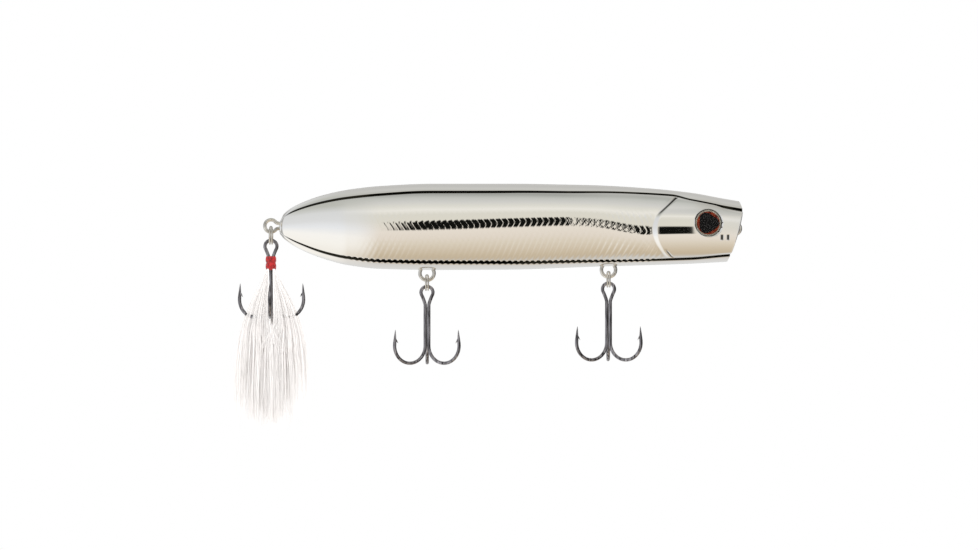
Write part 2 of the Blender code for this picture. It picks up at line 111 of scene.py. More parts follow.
# A pair named RUN is where a smooth change starts and where it is complete.
SCALE_PITCH = 1.55
SCALE_SWEEP = 0.75  # a row of scales falls back this much for each step up or down the side
OUTER_SWEEP = 0.3  # how much less it falls back away from the middle
OUTER_START = 1.5
ROW_TURN_RISE = 0.1  # how far above the side's middle the rows turn near the head
ROW_TURN_FALL = 0.9  # how much lower they turn near the tail
ROW_TURN_RUN = (58, 80)
ROW_TURN_SOFTNESS = 0.03
SCALE_EDGE = 0.058  # the half width of the raised edge between two scales, in scales
SCALE_EDGE_HEIGHT = 0.0165
EDGE_LOSS = 0.75  # the share of that height lost away from the middle
EDGE_LOSS_RUN = (1.5, 5.0)
SCALE_BULGES = (0.004, 0.022, 0.052)  # on the side's middle, and aside by the tail and the head
BULGE_RUN = (0.8, 6.0)
BULGE_HEAD_RUN = (-85, -50)
CROSSING_EDGE = 0.08  # the crossing rows' edges, over the main rows'
CROSSING_EDGE_GAIN = 0.2
CROSSING_GAIN_RUN = (-47, -41)
CROSSING_REACH = 3.2
CROSSING_BULGE = 0.007
CROSSING_BULGE_RUN = (1.2, 2.4)
CROSSING_BULGE_REACH = 4.5
SIDE_RADIUS = 10.2
SCALES_START = -104.0
SCALES_FADE_LENGTH = 12.0
SCALES_LATE = 7.0  # how much later they start on the side's middle
SCALES_LATE_REACH = 2.0
SCALES_GILL_RUN = (1.5, 2.6)
SCALES_DOWN_RUN = (-5.4, -2.6)
SCALES_BELLY_GAP = 0.3
# the scales' lower ends along the belly ledge, as strands of a rope
STRAND_SHIFT = 0.9
STRAND_TAIL_RUN = (-108, -98)
STRAND_HEAD_RUN = (20.5, 24)
STRAND_EDGES = ((SIDE_END, 0.40, 0.0), (BELLY_START, 0.26, 0.45))  # row, reach, lag

GILL_BACK = -20.9  # the gill plate's rearmost point
GILL_MIDDLE_Z = -0.4
GILL_CURVE = 0.068
GILL_HEIGHT = 0.32
GILL_SLOPE = 1.9  # the length over which the plate rises
GILL_INSET = 0.9
GILL_TOP_LOSS = 0.85  # the share of the plate's height lost near the back
GILL_TOP_RUN = (3.0, 5.5)
VALLEY_DEPTH = 0.06
VALLEY_BEHIND = 0.6
VALLEY_REACH = 1.9
VALLEY_BACK_GAP = 4.0
VALLEY_BELLY_GAP = 3.0
GROOVE_DEPTH = 0.28
GROOVE_HALF = 0.34
GROOVE_WIDENING = 0.2
GROOVE_WIDENING_RUN = (5.5, 9)
UPPER_GROOVE_X = -20.6  # its place at the height below, and its lean from there
UPPER_GROOVE_Z = 4.0
UPPER_GROOVE_LEAN = 1.06
UPPER_GROOVE_RUN = (3.2, 4.6)
LOWER_GROOVE_AHEAD = 0.15
LOWER_GROOVE_SHARE = 0.8
LOWER_GROOVE_RUN = (5.2, 6.6)
NOSTRILS = ((-3.75, 0.4), (-2.1, 0.37))  # x and half width of each short slit
NOSTRIL_TOP_RUN = (1.6, 1.8)
NOSTRIL_BOTTOM_RUN = (-3.2, -2.9)
NOSTRIL_DEPTH = 0.5  # over the grooves'

EYE_PLACE = (-7.3, 7.9, 1.5)
EYE_YAW = math.radians(7.0)
EYE_PITCH = math.radians(3.0)
SOCKET_RADIUS = 3.86
SOCKET_FLOOR = -1.2
SOCKET_SNAP = 0.11  # points this near the socket's circle move onto it
SOCKET_LEAST_Y = 4


def between(value, low, high):
    """A smooth step from 0 at low to 1 at high."""
    t = np.clip((np.asarray(value, float) - low) / (high - low), 0.0, 1.0)
    return t * t * (3 - 2 * t)


def bell(value, reach, power=2):
    """A smooth hump, 1 where the value is 0. A high power makes it flat topped."""
    return np.exp(-((value / reach) ** power))


def smooth_table(rows, x):
    """Every column of a table of rows, read at each x on smooth curves that don't overshoot."""
    table = np.array(rows, float)
    xs, values = table[:, 0], table[:, 1:]
    spans = np.diff(xs)
    chords = np.diff(values, axis=0) / spans[:, None]
    slopes = np.vstack([chords[:1], np.zeros_like(chords[1:]), chords[-1:]])
    product = chords[:-1] * chords[1:]
    total = np.where(product > 0, chords[:-1] + chords[1:], 1.0)
    slopes[1:-1] = np.where(product > 0, 2 * product / total, 0.0)
    i = np.clip(np.searchsorted(xs, x) - 1, 0, len(spans) - 1)
    span = spans[i][..., None]
    t = (np.asarray(x, float)[..., None] - xs[i][..., None]) / span
    return (
        (1 + 2 * t) * (1 - t) ** 2 * values[i]
        + t * (1 - t) ** 2 * span * slopes[i]
        + t * t * (3 - 2 * t) * values[i + 1]
        - t * t * (1 - t) * span * slopes[i + 1]
    )


def rim_x(z):
    """The side view of the mouth's rim: it leans forward, bows out and tucks back at its top."""
    bow = RIM_BOW * (1 - ((z - RIM_BOW_MIDDLE) / RIM_BOW_REACH) ** 2)
    tuck = RIM_TUCK * np.clip(z - RIM_TUCK_FROM, 0, None) ** RIM_TUCK_CURVE
    return RIM_X + RIM_LEAN * z + bow - tuck


def ring_stations():
    """The x of each ring, closest together where the scales are."""
    runs = [
        np.arange(start, end - spacing / 2, spacing)
        for (start, spacing), (end, _) in zip(RING_SPACING, RING_SPACING[1:])
    ]
    return np.concatenate([*runs, [RIM_BASE_X]])


def ledge_heights(x):
    """The upper and lower edges of both ledges, from the back's upper edge down."""
    top, bottom, _, _ = np.moveaxis(smooth_table(BODY_PROFILE, x), -1, 0)
    back, back_face, belly, belly_face = np.moveaxis(smooth_table(LEDGES, x), -1, 0)
    upper, lower = back * top, belly * bottom
    return upper, upper - back_face - LEDGE_TREAD, lower + belly_face + LEDGE_TREAD, lower


def row_angles(x):
    """Angles from the back to the belly for each ring, with rows lying on both ledges' edges."""
    top, bottom, _, widest = np.moveaxis(smooth_table(BODY_PROFILE, x), -1, 0)
    upper, side_top, side_bottom, lower = ledge_heights(x)
    edges = [
        np.zeros_like(x),
        np.arccos((upper - widest) / (top - widest)),
        np.arccos((side_top - widest) / (top - widest)),
        math.pi - np.arccos((widest - side_bottom) / (widest - bottom)),
        math.pi - np.arccos((widest - lower) / (widest - bottom)),
        np.full_like(x, math.pi),
    ]

    def spaced(start, end, count, crowd):
        t = np.arange(count) / count
        t = t - crowd * np.sin(TAU * t) / TAU
        return start[:, None] + (end - start)[:, None] * t

    counts = (BACK_ROWS, LEDGE_ROWS, SIDE_ROWS, LEDGE_ROWS, BELLY_ROWS)
    crowding = (0.6, 0.0, 0.45, 0.0, 0.6)
    spans = zip(edges, edges[1:], counts, crowding)
    return np.hstack([*(spaced(*span) for span in spans), edges[-1][:, None]])


def cut_ledges(skin):
    """Squares the ledge rows: an upright face that looks sideways, and a hidden level tread."""
    shares = np.linspace(0, 1, FACE_ROWS + 1)[1:]
    for edge, inner, way in ((BACK_ROWS, SIDE_START, 1), (BELLY_START, SIDE_END, -1)):
        start, end = skin[:, edge].copy(), skin[:, inner].copy()
        corner = np.stack([start[:, 0], start[:, 1], end[:, 2] + way * LEDGE_TREAD], axis=-1)
        for k, share in enumerate(shares, 1):
            skin[:, edge + way * k] = start + (corner - start) * share
        for k in range(1, TREAD_ROWS):
            skin[:, edge + way * (FACE_ROWS + k)] = corner + (end - corner) * k / TREAD_ROWS
    return skin


def smooth_body(base_x, angles):
    """Points of the plain body surface on the +Y side, its rings leaning into the rim's curve."""
    lean = np.clip((base_x - LEAN_START_X) / (RIM_BASE_X - LEAN_START_X), 0, 1)[:, None]
    lean = lean**LEAN_CURVE
    x = np.broadcast_to(base_x[:, None], angles.shape)
    for _ in range(LEAN_PASSES):
        top, bottom, width, widest = np.moveaxis(smooth_table(BODY_PROFILE, x), -1, 0)
        up = np.cos(angles) > 0
        height = np.where(up, top - widest, widest - bottom)
        z = widest + height * np.cos(angles)
        x = base_x[:, None] + lean * (rim_x(z) - RIM_BASE_X)
    y = width * np.sin(angles)
    return np.stack([x, y, z], axis=-1)


def grid_normals(points):
    """Outward normals of a grid of rings and rows on the +Y side."""
    along = np.gradient(points, axis=0)
    round_ = np.gradient(points, axis=1)
    normals = np.cross(along, round_)
    length = np.linalg.norm(normals, axis=-1, keepdims=True)
    return normals / np.maximum(length, 1e-9)


def gill_edge_x(z):
    return GILL_BACK + GILL_CURVE * (z - GILL_MIDDLE_Z) ** 2


def scale_edges(phase):
    """The raised edges between one scale and the next."""
    return bell(phase % 1.0 - 0.5, SCALE_EDGE)


def scale_relief(x, down):
    """Fish scales in rows swept back from the middle of the side, crossed by fainter rows."""
    from_middle = down + ROW_TURN_RISE - ROW_TURN_FALL * between(-x, *ROW_TURN_RUN)
    aside = np.abs(from_middle)
    swept = np.sqrt(from_middle**2 + ROW_TURN_SOFTNESS)
    swung = OUTER_SWEEP * np.clip(swept - OUTER_START, 0, None)
    rows = (x + SCALE_SWEEP * swept - swung) / SCALE_PITCH
    crossing = (x - SCALE_SWEEP * swept) / SCALE_PITCH
    middle, tailward, noseward = SCALE_BULGES
    outer = tailward + (noseward - tailward) * between(x, *BULGE_HEAD_RUN)
    bulge = middle + (outer - middle) * between(aside, *BULGE_RUN)
    sharp = SCALE_EDGE_HEIGHT * (1 - EDGE_LOSS * between(aside, *EDGE_LOSS_RUN))
    height = sharp * scale_edges(rows) + bulge / 2 * np.sin(TAU * rows)
    crossed = CROSSING_EDGE + CROSSING_EDGE_GAIN * between(x, *CROSSING_GAIN_RUN)
    height += crossed * sharp * scale_edges(crossing) * bell(from_middle, CROSSING_REACH)
    shown = between(aside, *CROSSING_BULGE_RUN) * bell(from_middle, CROSSING_BULGE_REACH)
    height += CROSSING_BULGE * np.sin(TAU * crossing) * shown
    late = SCALES_LATE * bell(from_middle, SCALES_LATE_REACH)
    return height * between(x - late, SCALES_START, SCALES_START + SCALES_FADE_LENGTH)


def gill_grooves(x, z, gill):
    """The grooves from the gill plate's edge to the ledges: their depth and how much painted shade they
    get.
    """
    upper = x - UPPER_GROOVE_X - UPPER_GROOVE_LEAN * (z - UPPER_GROOVE_Z)
    off_groove = np.where(z > 0, upper, gill - LOWER_GROOVE_AHEAD)
    half = GROOVE_HALF + GROOVE_WIDENING * between(z, *GROOVE_WIDENING_RUN)
    lower_shown = LOWER_GROOVE_SHARE * between(-z, *LOWER_GROOVE_RUN)
    shown = np.maximum(between(z, *UPPER_GROOVE_RUN), lower_shown)
    return shown * bell(off_groove, half), shown * bell(off_groove, half, 4)


def relief(points, angles):
    """How far each point of the side stands off the plain body, and how much painted shade it gets."""
    x, _, z = np.moveaxis(points, -1, 0)
    steps = np.linalg.norm(np.diff(points, axis=1), axis=-1)
    around = np.hstack([np.zeros((len(points), 1)), np.cumsum(steps, axis=1)])
    from_back = around - around[:, SIDE_START : SIDE_START + 1]
    from_belly = around[:, SIDE_END : SIDE_END + 1] - around
    on_side = (from_back > 0) & (from_belly > 0)

    gill = x - gill_edge_x(z)
    low = 1 - GILL_TOP_LOSS * between(z, *GILL_TOP_RUN)
    inset = between(from_back, 0.0, GILL_INSET) * between(from_belly, 0.0, GILL_INSET)
    plate = between(gill, -GILL_SLOPE, 0.0) * inset * low
    valley = bell(gill + GILL_SLOPE + VALLEY_BEHIND, VALLEY_REACH) * low
    valley *= between(from_back, 0.0, VALLEY_BACK_GAP) * between(from_belly, 0.0, VALLEY_BELLY_GAP)

    fade = between(-gill, *SCALES_GILL_RUN) * between(-z, *SCALES_DOWN_RUN)
    fade *= between(from_belly, 0.0, SCALES_BELLY_GAP)
    scales = scale_relief(x, SIDE_RADIUS * (angles - math.pi / 2)) * fade

    # The nostril slits and the gill grooves are sunk in, and their dark is painted shade.
    nostrils = sum(bell(x - at, half, 4) for at, half in NOSTRILS)
    nostrils *= between(-z, *NOSTRIL_TOP_RUN) * between(z, *NOSTRIL_BOTTOM_RUN)
    deep, dark = gill_grooves(x, z, gill)
    deep = deep * on_side + NOSTRIL_DEPTH * nostrils
    dark = dark * on_side + nostrils
    height = GILL_HEIGHT * plate - VALLEY_DEPTH * valley + scales
    return height - GROOVE_DEPTH * deep, np.clip(dark, 0, 1)


def ripple_ledge(skin):
    """The scales' lower ends notch the belly ledge, as the strands of a rope would."""
    x = skin[:, 0, 0]
    strand = np.sin(TAU * (x + STRAND_SHIFT) / SCALE_PITCH) / 2
    strand = strand * between(x, *STRAND_TAIL_RUN) * between(-x, *STRAND_HEAD_RUN)
    for row, reach, lag in STRAND_EDGES:
        skin[:, row, 2] += reach * np.interp(x + lag, x, strand)
    return skin


def eye_axes():
    """The +Y eye's apex, and the way it looks."""
    sideways = math.cos(EYE_YAW) * math.cos(EYE_PITCH)
    outward = np.array([math.sin(EYE_YAW), sideways, math.sin(EYE_PITCH)])
    return np.array(EYE_PLACE), outward / np.linalg.norm(outward)


def cut_socket(skin):
    """Sinks the skin inside the eye's circle, with its edge moved onto a clean circle."""
    centre, outward = eye_axes()
    away = skin - centre
    depth = away @ outward
    flat = away - depth[..., None] * outward
    distance = np.linalg.norm(flat, axis=-1)
    outer = skin[..., 1] > SOCKET_LEAST_Y
    near = (np.abs(distance - SOCKET_RADIUS) < SOCKET_SNAP) & outer
    snapped = flat * (SOCKET_RADIUS / np.maximum(distance, 1e-6) - 1)[..., None]
    skin = np.where(near[..., None], skin + snapped, skin)
    inside = (distance < SOCKET_RADIUS - SOCKET_SNAP) & outer
    sunk = np.minimum(SOCKET_FLOOR - depth, 0)[..., None] * outward
    return np.where(inside[..., None], skin + sunk, skin)


def tail_rings(first):
    """Rings that close the blunt tail, from its pole out to the first body ring."""
    middle = np.array([TAIL_X, 0, (first[0, 2] + first[-1, 2]) / 2])
    rings = []
    for k in range(TAIL_RINGS):
        angle = math.pi / 2 * k / TAIL_RINGS
        ring = middle + (first - middle) * math.sin(angle)
        ring[:, 0] -= TAIL_DOME * math.cos(angle)
        rings.append(ring)
    return np.array(rings)


def mouth_rings(last):
    """The rounded lip and the hollow cup inside it, ending at the cup's deepest point."""
    out_of_mouth = np.array([math.cos(MOUTH_LEAN), 0, -math.sin(MOUTH_LEAN)])
    middle = np.array([rim_x(MOUTH_MIDDLE_Z), 0, MOUTH_MIDDLE_Z])
    inward = middle - last
    inward /= np.linalg.norm(inward, axis=1, keepdims=True)
    rings = []
    for k in range(1, LIP_RINGS + 1):
        angle = math.pi * k / LIP_RINGS
        step = LIP_THICKNESS / 2 * (1 - math.cos(angle))
        bulge = LIP_THICKNESS * LIP_BULGE * math.sin(angle)
        rings.append(last + inward * step + out_of_mouth * bulge)
    edge = rings[-1]
    for k in range(1, CUP_RINGS + 1):
        angle = math.pi / 2 * k / CUP_RINGS
        flat = middle + (edge - middle) * math.cos(angle)
        rings.append(flat - out_of_mouth * CUP_DEPTH * math.sin(angle) ** CUP_CURVE)
    return np.array(rings)


def side_skin():
    """The +Y side's points from the tail's pole to the cup's floor, and how much painted shade each one
    gets.
    """
    base_x = ring_stations()
    angles = row_angles(base_x)
    plain = smooth_body(base_x, angles)
    height, dark = relief(plain, angles)
    skin = plain + grid_normals(plain) * height[..., None]
    skin = cut_ledges(ripple_ledge(cut_socket(skin)))
    faces = [BACK_ROWS + k for k in range(1, FACE_ROWS + 1)]
    faces += [BELLY_START - k for k in range(1, FACE_ROWS + 1)]
    # The ledges' upright faces get painted shade, fading in at the tail.
    dark[:, faces] = between(base_x, TAIL_X, TAIL_X + LEDGE_SHADE_FADE_LENGTH)[:, None]
    skin[:, 0, 1] = skin[:, -1, 1] = 0.0
    tail, mouth = tail_rings(skin[0]), mouth_rings(skin[-1])
    grid = np.concatenate([tail, skin, mouth])
    grid[:, 0, 1] = grid[:, -1, 1] = 0.0
    dark = np.concatenate([np.zeros(tail.shape[:2]), dark, np.zeros(mouth.shape[:2])])
    lip = len(tail) + len(skin)
    # The lip's first rings carry the ledge faces' painted shade on.
    dark[lip : lip + PAINTED_SHADE_LIP_RINGS] = dark[lip - 1]
    return grid, dark


def body_half(side, grid, dark, look):
    """One half of the body's skin, closed along the parting plane."""
    grid = grid * (1, side, 1)
    rings, rows = dark.shape
    index = np.arange(rings * rows).reshape(rings, rows)
    quads = np.stack([index[:-1, :-1], index[:-1, 1:], index[1:, 1:], index[1:, :-1]], axis=-1)
    quads = quads.reshape(-1, 4)
    outline = np.concatenate([grid[:, 0], grid[::-1, -1]])
    cap = np.arange(rings * rows, rings * rows + len(outline))
    if side > 0:
        quads, cap = quads[:, ::-1], cap[::-1]
    points = np.concatenate([grid.reshape(-1, 3), outline])
    name = f"body_half_{'left' if side > 0 else 'right'}"
    obj = solid(name, points, [*quads.tolist(), cap.tolist()], look)
    # The painted shade goes on the mesh as a point attribute, which the chrome material darkens by.
    shade = obj.data.attributes.new("painted_groove_shade", "FLOAT", "POINT")
    shade.data.foreach_set("value", np.concatenate([dark.ravel(), np.zeros(len(outline))]))
    smooth_across_parting(obj, rings * rows)
    return obj


def smooth_across_parting(obj, skin_points):
    """Sets normals so that the two halves shade as one surface where they meet."""
    mesh = obj.data
    count = len(mesh.vertices)
    points, normals = np.zeros(count * 3), np.zeros(count * 3)
    mesh.vertices.foreach_get("co", points)
    mesh.vertex_normals.foreach_get("vector", normals)
    points, normals = points.reshape(-1, 3), normals.reshape(-1, 3)
    seam = np.abs(points[:skin_points, 1]) < 1e-7
    normals[:skin_points][seam, 1] = 0
    lengths = np.linalg.norm(normals, axis=1, keepdims=True)
    mesh.normals_split_custom_set_from_vertices((normals / np.maximum(lengths, 1e-9)).tolist())


# Mesh helpers --------------------

TUBE_SHARP = math.radians(50)  # edges sharper than this shade as edges
EYE_SHARP = math.radians(40)


def solid(name, points, faces, look, smooth=True):
    """A mesh object from points in mm."""
    mesh = bpy.data.meshes.new(name)
    mesh.from_pydata((np.asarray(points, float) * MM).tolist(), [], faces)
    if smooth:
        mesh.shade_smooth()
    mesh.materials.append(look)
    obj = bpy.data.objects.new(name, mesh)
    bpy.context.scene.collection.objects.link(obj)
    return obj


def path_frames(path):
    """Two directions across a path at each point, turning as little as they can."""
    tangents = np.gradient(path, axis=0)
    tangents /= np.linalg.norm(tangents, axis=1, keepdims=True)
    across = np.array([0.0, 1.0, 0.0] if abs(tangents[0][1]) < 0.9 else [1.0, 0.0, 0.0])
    first = []
    for tangent in tangents:
        across = across - tangent * np.dot(across, tangent)
        across = across / np.linalg.norm(across)
        first.append(across)
    first = np.array(first)
    return first, np.cross(tangents, first)


def tube_parts(path, radii, sides=14, squareness=2.0):
    """Points and faces of a closed tube along a path. Squareness 2 is round, 5 nearly square."""
    path = np.asarray(path, float)
    radii = np.broadcast_to(radii, len(path))
    first, second = path_frames(path)
    turns = TAU * np.arange(sides) / sides
    cosine, sine = np.cos(turns), np.sin(turns)
    shape = (np.abs(cosine) ** squareness + np.abs(sine) ** squareness) ** (-1 / squareness)
    ring = first[:, None] * (cosine * shape)[:, None] + second[:, None] * (sine * shape)[:, None]
    points = (path[:, None] + ring * radii[:, None, None]).reshape(-1, 3)
    count = len(path)
    index = np.arange(count * sides).reshape(count, sides)
    after = np.roll(index, -1, axis=1)
    quads = np.stack([index[:-1], after[:-1], after[1:], index[1:]], axis=-1).reshape(-1, 4)
    caps = [index[0, ::-1].tolist(), index[-1].tolist()]
    return points, quads.tolist() + caps


def tubes(name, runs, look, sides=14, squareness=2.0):
    """One object from several (path, radii) tubes."""
    points, faces = [], []
    start = 0
    for path, radii in runs:
        more_points, more_faces = tube_parts(path, radii, sides, squareness)
        points.append(more_points)
        faces += [[start + i for i in face] for face in more_faces]
        start += len(more_points)
    obj = solid(name, np.concatenate(points), faces, look)
    obj.data.set_sharp_from_angle(angle=TUBE_SHARP)
    return obj


def rounded(path, passes=2):
    """A path with its corners cut, its ends kept."""
    path = np.asarray(path, float)
    for _ in range(passes):
        near = path[:-1] * 0.75 + path[1:] * 0.25
        far = path[:-1] * 0.25 + path[1:] * 0.75
        inner = np.stack([near, far], axis=1).reshape(-1, 3)
        path = np.concatenate([path[:1], inner[1:-1], path[-1:]])
    return path


def show(obj, body, slot, *nodes):
    """Ties a piece to its body and hides the CAD nodes that it stands for. The slot is not used."""
    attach(obj, body)
    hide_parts(*nodes)
    obj.visible_glossy = body == "lure_body"
    return obj


# Materials --------------------


class Nodes:
    """Short ways to add and wire the nodes of one tree."""

    def node(self, kind, **settings):
        made = self.tree.nodes.new(kind)
        for key, value in settings.items():
            setattr(made, key, value)
        return made

    def link(self, source, target):
        """Wires a socket into another, or sets it to a number or a colour."""
        if isinstance(source, tuple):
            target.default_value = (*source, 1.0)
        elif isinstance(source, (int, float)):
            target.default_value = source
        else:
            self.tree.links.new(source, target)

    def ramp(self, source, *stops):
        """A colour ramp of (position, colour) stops."""
        ramp = self.node("ShaderNodeValToRGB")
        elements = ramp.color_ramp.elements
        while len(elements) < len(stops):
            elements.new(0.5)
        for element, (position, colour) in zip(elements, stops):
            element.position = position
            element.color = (*colour, 1.0)
        self.link(source, ramp.inputs["Fac"])
        return ramp.outputs["Color"]

    def mix(self, amount, first, second):
        made = self.node("ShaderNodeMix", data_type="RGBA")
        self.link(amount, made.inputs["Factor"])
        self.link(first, made.inputs[6])
        self.link(second, made.inputs[7])
        return made.outputs[2]


class Look(Nodes):
    """A Principled material, with procedural detail wired into it."""

    def __init__(self, name, colour, roughness, metallic=0.0, **more):
        self.material = bpy.data.materials.new(name)
        self.material.use_nodes = True
        self.tree = self.material.node_tree
        self.shader = self.tree.nodes["Principled BSDF"]
        self.set("Base Color", (*colour, 1.0))
        self.set("Roughness", roughness)
        self.set("Metallic", metallic)
        for key, value in more.items():
            self.set(key.replace("_", " ").title().replace("Ior", "IOR"), value)

    def set(self, socket, value):
        self.shader.inputs[socket].default_value = value

    def noise(self, scale, detail=3.0, stretch=(1, 1, 1)):
        """Noise in object space, scale in bumps per metre."""
        where = self.node("ShaderNodeTexCoord").outputs["Object"]
        mapping = self.node("ShaderNodeMapping")
        mapping.inputs["Scale"].default_value = stretch
        noise = self.node("ShaderNodeTexNoise")
        noise.inputs["Scale"].default_value = scale
        noise.inputs["Detail"].default_value = detail
        self.link(where, mapping.inputs["Vector"])
        self.link(mapping.outputs["Vector"], noise.inputs["Vector"])
        return noise.outputs["Fac"]

    def spread(self, source, low, high):
        """A value from 0 to 1 laid out between low and high."""
        made = self.node("ShaderNodeMapRange")
        made.inputs["To Min"].default_value = low
        made.inputs["To Max"].default_value = high
        self.link(source, made.inputs["Value"])
        return made.outputs["Result"]

    def rough(self, noise, low, high):
        self.to("Roughness", self.spread(noise, low, high))

    def mottle(self, noise, *stops):
        self.to("Base Color", self.ramp(noise, *stops))

    def attribute(self, name):
        return self.node("ShaderNodeAttribute", attribute_name=name).outputs["Fac"]

    def bump(self, source, strength, distance):
        made = self.node("ShaderNodeBump")
        made.inputs["Strength"].default_value = strength
        made.inputs["Distance"].default_value = distance
        self.link(source, made.inputs["Height"])
        self.link(made.outputs["Normal"], self.shader.inputs["Normal"])

    def to(self, socket, source):
        self.link(source, self.shader.inputs[socket])


def chrome_film():
    """Plated plastic: bright, with a faint painted warm reflection low on the side, and painted shade,
    near black, in its grooves and on its ledge faces.
    """
    look = Look("chrome_film", (0.9, 0.89, 0.87), 0.06, 1.0)
    where = look.node("ShaderNodeSeparateXYZ")
    look.link(look.node("ShaderNodeTexCoord").outputs["Object"], where.inputs["Vector"])
    height = look.node("ShaderNodeMapRange")
    height.inputs["From Min"].default_value = -12 * MM
    height.inputs["From Max"].default_value = 12 * MM
    look.link(where.outputs["Z"], height.inputs["Value"])
    # A faint painted warm reflection low on the side, neutral at the top.
    painted_low_warmth = look.ramp(
        height.outputs["Result"],
        (0.0, (0.93, 0.925, 0.92)),
        (0.5, (0.935, 0.93, 0.925)),
        (1.0, (0.93, 0.93, 0.93)),
    )
    # Painted shade: the chrome's colour turns near black where the groove shade attribute is set.
    look.to("Base Color", look.mix(look.attribute("painted_groove_shade"), painted_low_warmth, (0.020, 0.019, 0.014)))
    look.rough(look.noise(700, 4), 0.018, 0.045)
    look.bump(look.noise(160, 2), 0.04, 0.00006)
    return look.material


def nickel_wire():
    look = Look("nickel_wire", (0.84, 0.82, 0.79), 0.10, 1.0)
    look.mottle(look.noise(900), (0.3, (0.40, 0.38, 0.35)), (0.7, (0.84, 0.82, 0.78)))
    look.rough(look.noise(2600), 0.05, 0.13)
    return look.material


def black_nickel():
    look = Look("black_nickel", (0.4, 0.39, 0.42), 0.2, 1.0)
    streaks = look.noise(2300, 4, (1, 1, 0.1))
    look.mottle(streaks, (0.36, (0.05, 0.048, 0.052)), (0.68, (0.46, 0.445, 0.48)))
    look.rough(look.noise(3000, 5), 0.05, 0.14)
    look.bump(look.noise(4000, 2, (1, 1, 0.15)), 0.15, 0.00003)
    return look.material


def red_thread():
    look = Look("red_thread", (0.4, 0.004, 0.009), 0.35, coat_weight=0.25, coat_roughness=0.12)
    look.mottle(look.noise(1500, 4), (0.35, (0.20, 0.001, 0.002)), (0.65, (0.60, 0.005, 0.011)))
    look.rough(look.noise(5000), 0.28, 0.5)
    return look.material


def white_hackle():
    look = Look("white_hackle", (0.93, 0.90, 0.88), 0.7, sheen_weight=0.25, sheen_roughness=0.5)
    shade = look.mix(look.attribute("tint"), (0.91, 0.875, 0.86), (0.975, 0.955, 0.94))
    look.to("Base Color", shade)
    look.rough(look.noise(3000), 0.6, 0.8)
    return look.material


def printed(name, dark, light, roughness=0.35):
    """A printed part of the eye, with a faint mottle."""
    look = Look(name, light, roughness, specular_ior_level=0.04)
    look.mottle(look.noise(900, 4), (0.35, dark), (0.65, light))
    look.rough(look.noise(3000), roughness * 0.8, roughness * 1.2)
    return look.material


def clear_lens():
    look = Look("clear_lens", (0.02, 0.02, 0.02), 0.02, alpha=0.1, specular_ior_level=0.4)
    look.rough(look.noise(500), 0.0, 0.03)
    return look.material


def plain_steel():
    look = Look("steel", (0.55, 0.55, 0.55), 0.3, 1.0)
    look.mottle(look.noise(600), (0.3, (0.46, 0.46, 0.46)), (0.7, (0.60, 0.60, 0.61)))
    look.rough(look.noise(1800), 0.22, 0.4)
    return look.material


# Wirework --------------------

WIRE_RADIUS = 0.48
LEG_SPREAD = 0.54
LEG_LENGTH = 7.0
FOOT_LENGTH = 2.4
FOOT_BEND = (0.3, 0.4)  # how far along the foot and the leg their corner is rounded
LOOP_OPENING = math.radians(30)
LOOP_NECK = (2.0, 1.0)  # where the legs close in on the loop, past its radius
BELLY_LOOP = 1.92
TAIL_LOOP = 1.66
TIE_LOOP = 1.55

HANGERS = {
    # joint that turns on the hanger's wire, direction out of the body, wire-centre loop radius
    "front_hook_hanger": ("front_ring_swing", (0, 0, -1), BELLY_LOOP),
    "rear_hook_hanger": ("rear_ring_swing", (0, 0, -1), BELLY_LOOP),
    "tail_hook_hanger": ("tail_ring_swing", (-1, 0, 0), TAIL_LOOP),
    "line_tie": (None, (1, 0, 0), TIE_LOOP),
}

# wire-centre radius, and how far the ring's lowest wire hangs below its hinge
BELLY_RING = (2.04, 4.59 - BELLY_LOOP)
RINGS = {"front": BELLY_RING, "rear": BELLY_RING, "tail": (2.34, 4.88 - TAIL_LOOP)}
RING_WIRE = 0.2294
RING_SQUARENESS = 2.2
RING_PITCH = 0.62
RING_TURNS = (0.12, 1.88)
RING_STEP_RUN = (0.9, 1.1)
THIRD_SIDES = {"front": 1, "rear": 1, "tail": -1}

HOOK_WIRE = 0.46
HOOK_LENGTH = 21.7
EYE_TOP = 1.45
EYE_RADIUS = 1.62
EYE_ARC = math.radians(122)
NECK_START = 0.12
NECK_CURVE = 1.25
SHANK_SPREAD = 0.485
SHANK_GAP = 0.6  # between the neck's last point and the shank's first
SHANK_TOP = -4.0
BEND_RADIUS = 4.75
POINT_Z = -10.7
POINT_LEAN = 0.25
NEEDLE_LENGTH = 3.6
BARB_Z = -13.7
BARB_LEAN = 0.6  # the share of the point's lean reached at the barb
BARB_PROFILE = ((0.10, 0.9), (-0.18, 0.45), (-0.42, 0.0), (-0.72, -0.42), (-0.98, -0.68))
BARB_RADII = ((0, 0.16), (0.5, 0.22), (1, 0.03))  # along the barb


def joint_place(frame, name):
    """A hinge's place in mm."""
    found = next(joint for joint in frame["joints"] if joint["name"] == name)
    return np.array(found["pos_m"], float) / MM


def loop_centre(frame, joint, loop):
    """A hanger's loop centre, from the hinge on its lower wire."""
    if joint is None:
        return np.zeros(3)
    return joint_place(frame, joint) + np.array([0, 0, loop])


def hanger_outline(loop):
    """A hanger's wire, foot to foot, as (across, depth into the body from the loop's centre)."""
    foot, leg = FOOT_BEND
    side = [(-FOOT_LENGTH, LEG_LENGTH), (-LEG_SPREAD - foot, LEG_LENGTH)]
    side += [(-LEG_SPREAD, LEG_LENGTH - leg)]
    side += [(-LEG_SPREAD, loop + neck) for neck in LOOP_NECK]
    turns = np.linspace(LOOP_OPENING, TAU - LOOP_OPENING, 40)
    turn = [(-loop * math.sin(angle), loop * math.cos(angle)) for angle in turns]
    return side + turn + [(-across, depth) for across, depth in reversed(side)]


